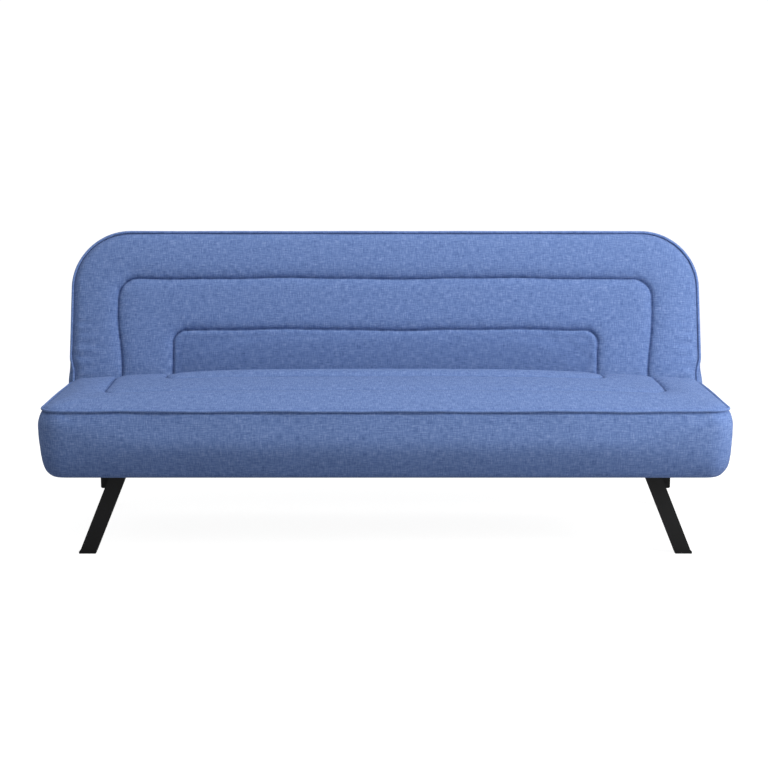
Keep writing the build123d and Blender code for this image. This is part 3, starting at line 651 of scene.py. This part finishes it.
def back_form():
    """Backrest cushion before its seams, with the rolled lower edge and the hinge slots."""
    profile = (
        (0.050, BACK_REAR_N), (0.030, -0.0705), (0.018, -0.0665), (0.009, -0.059),
        (0.003, -0.046), (0.000, -0.030), (-0.001, 0.0), (0.000, 0.030), (0.004, 0.046),
        (0.0095, BACK_WELT_N - 0.002), (0.012, BACK_WELT_N + 0.002), (0.018, 0.0615),
        (0.030, 0.0650), (0.060, BACK_FACE_N),
    )
    back = ring_solid(
        "BackCushion", profile, half=BACK_HALF, low=BACK_LOW, high=BACK_HIGH,
        low_r=BACK_BOTTOM_R, high_r=BACK_TOP_R,
    )
    remesh(back, COARSE_VOXEL)
    roll_lower_edge(back)
    cut_slots(back)
    remesh(back, VOXEL)
    return back


def roll_lower_edge(back):
    """Pulls the lower front edge in to its roll radius."""
    p = coords(back)
    roll_u, roll_n = BACK_LOW + BACK_ROLL_R, BACK_FACE_N + 0.001 - BACK_ROLL_R
    du, dn = p[:, 1] - roll_u, p[:, 2] - roll_n
    reach = np.hypot(du, dn)
    turn = (du < 0) & (dn > 0) & (reach > BACK_ROLL_R)
    shrink = np.where(turn, BACK_ROLL_R / np.maximum(reach, 1e-9), 1)
    p[:, 1] = roll_u + du * shrink
    p[:, 2] = roll_n + dn * shrink
    put(back, p)


def cut_slots(back):
    """Cuts the two hinge slots into the lower end."""
    beyond = 0.02
    cutters = []
    for side in (-1, 1):
        x0, x1 = sorted((side * SLOT_X[0], side * SLOT_X[1]))
        low = (x0, BACK_LOW - beyond, BACK_REAR_N - beyond)
        cutters.append(box_cutter(low, (x1, SLOT_U, SLOT_N)))
    for cutter in cutters:
        cut = back.modifiers.new("slot", "BOOLEAN")
        cut.operation = "DIFFERENCE"
        cut.object = cutter
        cut.solver = "EXACT"
    bake_modifiers(back)
    for cutter in cutters:
        bpy.data.objects.remove(cutter, do_unlink=True)


def make_back():
    back = back_form()
    p = coords(back)
    near = np.min(np.abs(back_seams(p)), axis=0)
    margin = 0.012
    in_slot = np.zeros(len(p), bool)
    for side in (-1, 1):
        across = side * p[:, 0]
        beside = (across > SLOT_X[0] - margin) & (across < SLOT_X[1] + margin)
        in_slot |= beside & (p[:, 1] < SLOT_U + margin)
    front = p[:, 2] > 0.050
    at_welt = np.abs(p[:, 2] - BACK_WELT_N) < HELD_WIDTH
    at_welt &= (np.abs(p[:, 0]) > 0.85) | (p[:, 1] > 0.3)
    held = ((near < HELD_WIDTH) & front) | at_welt | in_slot | (p[:, 2] < BACK_REAR_N + HELD_WIDTH)
    inflate(back, held, PRESSURE, BACK_SWELL)
    subdivide(back)
    sew_back(back)
    back.data.transform(BACK_FRAME)
    shade_smooth(back)
    return back


def sew_back(back):
    """Presses the seams, the welt line and small tension folds into the inflated backrest."""
    p, n = coords(back), normals(back)
    near = np.min(np.abs(back_seams(p)), axis=0)
    front = smooth(0.058, 0.064, p[:, 2]) * smooth(0.3, 0.7, n[:, 2])
    inner = back_seams(p)[1]
    panel = 1 - smooth(-0.03, 0.0, inner)
    puffed = 0.010 * (1 - panel) + 0.004 * panel
    band = puffed * (1 - np.exp(-near / (0.013 + 0.010 * panel))) - 0.004
    line = -GROOVE_DEPTH * np.exp(-((near / GROOVE_HALF) ** 2))
    pucker = ripple((p[:, 0] + p[:, 1], 0.043, 0.8, 0.0005), (p[:, 0] - p[:, 1], 0.071, 2.9, 0.0006))
    pucker = pucker * np.exp(-near / 0.025)
    edge = (np.abs(p[:, 0]) > 0.8) & (p[:, 1] < 0.2)
    tension = edge * ripple(
        (p[:, 1], 0.034, 0.4, 0.0011), (p[:, 1] + 0.3 * p[:, 0], 0.051, 1.4, 0.0007)
    )
    tension = tension * smooth(0.80, 0.9, np.abs(p[:, 0]))
    side = 1 - smooth(0.3, 0.6, np.abs(n[:, 2]))
    welt_line = -0.0025 * np.exp(-(((p[:, 2] - BACK_WELT_N + 0.0055) / 0.003) ** 2))
    slack = ripple((p[:, 0] + p[:, 1], 0.29, 0.2, 0.0009), (p[:, 1] - p[:, 0], 0.16, 1.1, 0.0006))
    push = (band + line + pucker + tension) * front + (welt_line + slack) * side
    q = p + n * push[:, None]
    flare = 1 - smooth(0.02, 0.07, q[:, 1])
    rim = smooth(0.82, 0.90, np.abs(q[:, 0]))
    pull_in = -0.009 * (1 - smooth(0.045, 0.09, q[:, 1])) * smooth(0.045, 0.058, q[:, 2])
    push_out = 0.004 * flare * (1 - smooth(0.030, 0.050, q[:, 2]))
    q[:, 0] += np.sign(q[:, 0]) * rim * (pull_in + push_out)
    put(back, q)
    seam = np.exp(-((near / SEAM_HALF) ** 2)) * front
    # painted shadow: a dark line just under the welt, carried in the seam attribute with the seam lines
    painted_welt_shadow = np.exp(-(((p[:, 2] - BACK_WELT_N + 0.005) / SEAM_HALF) ** 2)) * side
    attribute(back, "seam", np.maximum(seam, 0.85 * painted_welt_shadow))
    # painted shade on the innermost panel, stronger towards the crease
    painted_shade = smooth(0.0, 0.02, -inner) * front
    attribute(back, "painted_shade", painted_shade * (0.25 + 0.25 * (1 - smooth(0.04, 0.17, p[:, 1]))))
    attribute(back, "cloth", wrap(p, n), "FLOAT_VECTOR")


# ---------------------------------------------------------------- piping


def seat_piping():
    shape = dict(half=SEAT_HALF, low=FRONT_Y, high=SEAT_REAR_Y, low_r=SEAT_FRONT_R, high_r=SEAT_REAR_R)
    flat = np.array(outline(inset=SEAT_PIPING_INSET, counts=(180, 48, 20), **shape))
    path = np.column_stack([flat, np.full(len(flat), SEAT_WELT_Z)])
    path[:, 2] += ripple((path[:, 0] + path[:, 1], 0.37, 0.3, 0.0008), (path[:, 0], 0.14, 1.2, 0.0004))
    return tube("SeatPiping", path, WELT_R, True)


def back_piping():
    shape = dict(half=BACK_HALF, low=-0.6, high=BACK_HIGH, low_r=0.02, high_r=BACK_TOP_R)
    flat = np.array(outline(inset=BACK_PIPING_INSET, counts=(180, 140, 24), **shape))
    n = len(flat)
    start = int(np.argmin(np.hypot(flat[:, 0], flat[:, 1] + 0.6)))
    flat = np.roll(flat, -start, axis=0)
    path = np.column_stack([flat, np.full(n, BACK_WELT_N)])
    path = path[path[:, 1] > 0.012]
    path[:, 2] += ripple((path[:, 0] + path[:, 1], 0.33, 0.9, 0.0009))
    path[:, 0] -= np.sign(path[:, 0]) * 0.009 * (1 - smooth(0.045, 0.09, path[:, 1]))
    path = np.array([BACK_FRAME @ Vector(q) for q in path])
    return tube("BackPiping", path, WELT_R, False)


# ---------------------------------------------------------------- linings


def lining(name, half, low, high, low_r, high_r, height, outward, sag):
    """Stapled sheet: sags between its edges and puckers at its staples. outward is +1 or -1."""
    shape = dict(half=half, low=low, high=high, low_r=low_r, high_r=high_r, counts=(150, 40, 8))
    room = (high - low) / 2
    insets = [0, 0.004, 0.010, 0.018, 0.030, 0.050, 0.080, 0.120, 0.160, room - 0.012]
    insets = [i for i in insets if i <= room - 0.012]
    points, faces = [], []
    for inset in insets:
        for x, y in outline(inset=inset, **shape):
            pull = ripple((np.array(x + y), 0.045, 0.0, 0.0004)) * math.exp(-inset / 0.02)
            drop = sag * (1 - math.exp(-inset / 0.06))
            points.append((x, y, height + outward * (drop + float(pull) * min(1, inset / 0.004))))
    n = len(points) // len(insets)
    for k in range(len(insets) - 1):
        for i in range(n):
            j = (i + 1) % n
            faces.append((k * n + i, k * n + j, (k + 1) * n + j, (k + 1) * n + i))
    faces.append(tuple(range((len(insets) - 1) * n, len(insets) * n)))
    made = mesh_object(name, points, faces)
    thick = made.modifiers.new("thick", "SOLIDIFY")
    thick.thickness = 0.0008
    thick.offset = 0
    bake_modifiers(made)
    clean_normals(made)
    shade_smooth(made)
    return made


def staples(name, half, low, high, corner, height, outward):
    """Wire staples round the edge of a lining, clear of its upper corners."""
    points, faces = [], []
    crown, wire, gap, stand = 0.010, 0.0006, 0.085, 0.0011
    spots = []
    for k in range(int(2 * half / gap)):
        x = -half + gap * (k + 0.5)
        spots.append((x, low + 0.008, 0))
        if abs(x) < half - corner:
            spots.append((x, high - 0.008, 0))
    for k in range(int((high - low - 0.08 - corner) / gap)):
        y = low + 0.08 + gap * k
        spots += [(-half + 0.008, y, 1), (half - 0.008, y, 1)]
    for x, y, turned in spots:
        dx, dy = (wire, crown / 2) if turned else (crown / 2, wire)
        base = len(points)
        for level, inner in ((0, 1), (1, 0.86)):
            for sx, sy in ((-1, -1), (1, -1), (1, 1), (-1, 1)):
                top = height + outward * stand * level
                points.append((x + sx * dx * inner, y + sy * dy * inner, top))
        block = [(0, 3, 2, 1), (4, 5, 6, 7)]
        block += [(k, (k + 1) % 4, (k + 1) % 4 + 4, k + 4) for k in range(4)]
        faces += [tuple(base + i for i in face) for face in block]
    made = mesh_object(name, points, faces)
    clean_normals(made)
    return made


# ---------------------------------------------------------------- assemble

seat = make_seat()
back = make_back()
seat_cord = seat_piping()
back_cord = back_piping()
shade_smooth(seat_cord)
shade_smooth(back_cord)

dust_low, dust_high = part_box("seat_dust_cover")
dust = lining(
    "SeatLining", dust_high.x, dust_low.y, dust_high.y, 0.01, 0.01, dust_low.z + 0.0004, -1, 0.0005
)
PANEL_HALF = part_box("back_rear_panel")[1].x
rear = lining(
    "BackLining", PANEL_HALF, REAR_LOW, REAR_HIGH, 0.01, REAR_CORNER_R, BACK_REAR_N - 0.0003, -1, 0.0003
)
rear.data.transform(BACK_FRAME)
dust_staples = staples(
    "SeatStaples", dust_high.x, dust_low.y, dust_high.y, 0.03, dust_low.z, -1
)
rear_staples = staples(
    "BackStaples", PANEL_HALF, REAR_LOW, REAR_HIGH, 0.13, BACK_REAR_N - 0.0006, -1
)
rear_staples.data.transform(BACK_FRAME)

for piece, slot_name, body, nodes in (
    (seat, "linen", "base", ("seat_cover", "seat_foam")),
    (back, "linen", "backrest", ("back_cover", "back_foam")),
    (seat_cord, "welt", "base", ("seat_welt",)),
    (back_cord, "welt", "backrest", ("back_welt",)),
    (dust, "lining", "base", ("seat_dust_cover",)),
    (rear, "lining", "backrest", ("back_rear_panel",)),
    (dust_staples, "zinc", "base", ()),
    (rear_staples, "zinc", "backrest", ()),
):
    dress(piece, slot_name)
    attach(piece, body)
    if nodes:
        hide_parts(*nodes)

# ---------------------------------------------------------------- floor, light, camera

floor = mesh_object(
    "Floor",
    [(-FLOOR_HALF, -FLOOR_HALF, 0), (FLOOR_HALF, -FLOOR_HALF, 0),
     (FLOOR_HALF, FLOOR_HALF, 0), (-FLOOR_HALF, FLOOR_HALF, 0)],
    [(0, 1, 2, 3)],
)
paint = Nodes("floor_paint")
paint.set(Base_Color=(0.50, 0.50, 0.50, 1), Roughness=0.9)
paint.shader.inputs["Specular IOR Level"].default_value = 0.1
bright = paint.add("ShaderNodeBsdfDiffuse")
bright.inputs["Color"].default_value = (0.30, 0.30, 0.30, 1)
glow = paint.add("ShaderNodeEmission")
glow.inputs["Strength"].default_value = 0.92
seen = paint.add("ShaderNodeAddShader")
paint.link(bright.outputs[0], seen.inputs[0])
paint.link(glow.outputs[0], seen.inputs[1])
either = paint.add("ShaderNodeMixShader")
paint.link(paint.add("ShaderNodeLightPath").outputs["Is Camera Ray"], either.inputs[0])
paint.link(paint.shader.outputs[0], either.inputs[1])
paint.link(seen.outputs[0], either.inputs[2])
paint.link(either.outputs[0], paint.tree.nodes["Material Output"].inputs["Surface"])
floor.data.materials.append(paint.material)

world = bpy.data.worlds.new("studio")
world.use_nodes = True
sky = world.node_tree
seen_sky = sky.nodes.new("ShaderNodeBackground")
seen_sky.inputs["Color"].default_value = (1, 1, 1, 1)
seen_sky.inputs["Strength"].default_value = 1.05
ambient = sky.nodes["Background"]
ambient.inputs["Color"].default_value = (1, 1, 1, 1)
ambient.inputs["Strength"].default_value = 0.42
choice = sky.nodes.new("ShaderNodeMixShader")
sky.links.new(sky.nodes.new("ShaderNodeLightPath").outputs["Is Camera Ray"], choice.inputs[0])
sky.links.new(ambient.outputs[0], choice.inputs[1])
sky.links.new(seen_sky.outputs[0], choice.inputs[2])
sky.links.new(choice.outputs[0], sky.nodes["World Output"].inputs["Surface"])
bpy.context.scene.world = world
bpy.context.scene.view_settings.view_transform = "Standard"


def soft_box(name, place, target, size, power):
    light = bpy.data.lights.new(name, "AREA")
    light.shape = "RECTANGLE"
    light.size, light.size_y = size
    light.energy = power
    made = bpy.data.objects.new(name, light)
    made.location = place
    made.rotation_euler = (Vector(target) - Vector(place)).to_track_quat("-Z", "Y").to_euler()
    bpy.context.scene.collection.objects.link(made)


soft_box("Key", (3.2, -2.2, 2.4), (0.2, 0, 0.45), (1.6, 1.6), 85)
soft_box("Side", (2.0, -0.9, 0.75), (0.8, 0, 0.45), (0.7, 0.7), 14)
soft_box("Top", (0.3, -0.9, 3.4), (0, 0.0, 0.4), (3.0, 1.6), 80)

camera = bpy.data.cameras.new("Camera")
camera.sensor_width = SENSOR
camera.lens = LENS
eye = bpy.data.objects.new("Camera", camera)
eye.location = (CAMERA_SIDE, FRONT_Y - CAMERA_BACK, CAMERA_HEIGHT)
eye.rotation_euler = (math.radians(90 - CAMERA_DROP), 0, 0)
bpy.context.scene.collection.objects.link(eye)
bpy.context.scene.camera = eye
